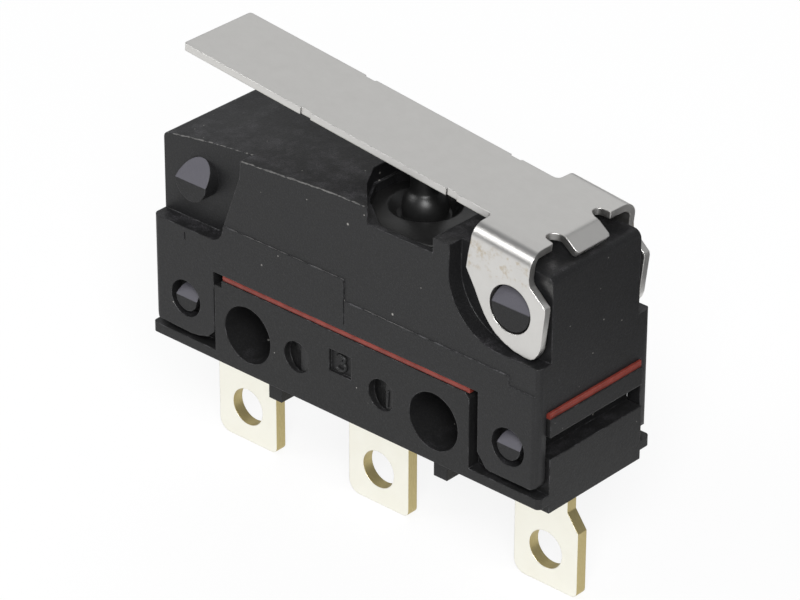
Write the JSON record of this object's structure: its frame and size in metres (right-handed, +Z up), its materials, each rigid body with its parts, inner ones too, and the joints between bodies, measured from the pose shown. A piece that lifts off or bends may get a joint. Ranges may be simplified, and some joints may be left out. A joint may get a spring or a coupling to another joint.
{
  "type": "lever micro switch",
  "caption": "Sealed snap-action switch: black two-part housing with a red seal, a long stainless hinge lever over a rubber-booted plunger and solder-eye terminals.",
  "frame": {"origin": "midway between the two mounting hole axes, on the middle plane of the body", "axes": "+X along the body towards the lever's hinge, +Y across the thickness towards the rear side face, +Z up from the mounting holes towards the lever"},
  "size_m": [0.0198, 0.0064, 0.0177],
  "materials": {
    "black_case": "black moulded thermoplastic, fine satin surface",
    "black_base": "black moulded thermoplastic, fine satin surface",
    "red_seal": "terracotta red silicone rubber",
    "black_boot": "glossy black rubber",
    "plunger_plastic": "natural acetal",
    "lever_steel": "bare stainless sheet, satin rolled faces",
    "terminal_plating": "brass sheet with a pale plating on its faces, sheared edges yellower",
    "contact_silver": "silver contact faces",
    "spring_copper": "beryllium copper spring strip",
    "spring_wire": "spring steel wire"
  },
  "bodies": {
    "housing": {"case": "black_case", "base": "black_base", "seal_gasket": "red_seal", "com_terminal": "terminal_plating", "no_terminal": "terminal_plating", "nc_terminal": "terminal_plating", "no_contact": "contact_silver", "nc_contact": "contact_silver"},
    "lever": {"lever": "lever_steel"},
    "plunger": {"plunger": "plunger_plastic", "plunger_boot": "black_boot"},
    "drive": {"drive_arm": "spring_copper"},
    "blade": {"moving_blade": "spring_copper", "moving_contact": "contact_silver", "snap_spring": "spring_wire"}
  },
  "joints": [
    {"name": "lever_hinge", "type": "hinge", "parent": "housing", "child": "lever", "pos_m": [0.00814, 0, 0.00594], "axis": [0, 1, 0], "range_deg": [-8.5, 0], "stiffness_Nm_per_rad": 0.03, "springref_deg": 2.86},
    {"name": "plunger_slide", "type": "slide", "parent": "housing", "child": "plunger", "axis": [0, 0, 1], "range_m": [-0.00101, 0], "deforming": ["plunger_boot"]},
    {"name": "drive_swing", "type": "hinge", "parent": "housing", "child": "drive", "pos_m": [-0.0068, 0, 0.005], "axis": [0, 1, 0], "range_deg": [0, 7.01]},
    {"name": "blade_swing", "type": "hinge", "parent": "housing", "child": "blade", "pos_m": [-0.0021, 0, 0.00347], "axis": [0, 1, 0], "range_deg": [0, 3.01], "deforming": ["snap_spring"]}
  ],
  "couplings": [
    {"joint": "plunger_slide", "follows": "lever_hinge", "m_per_rad": 0.00679},
    {"joint": "drive_swing", "follows": "lever_hinge", "ratio": -0.8235},
    {"joint": "blade_swing", "follows": "lever_hinge", "ratio": -0.353}
  ]
}
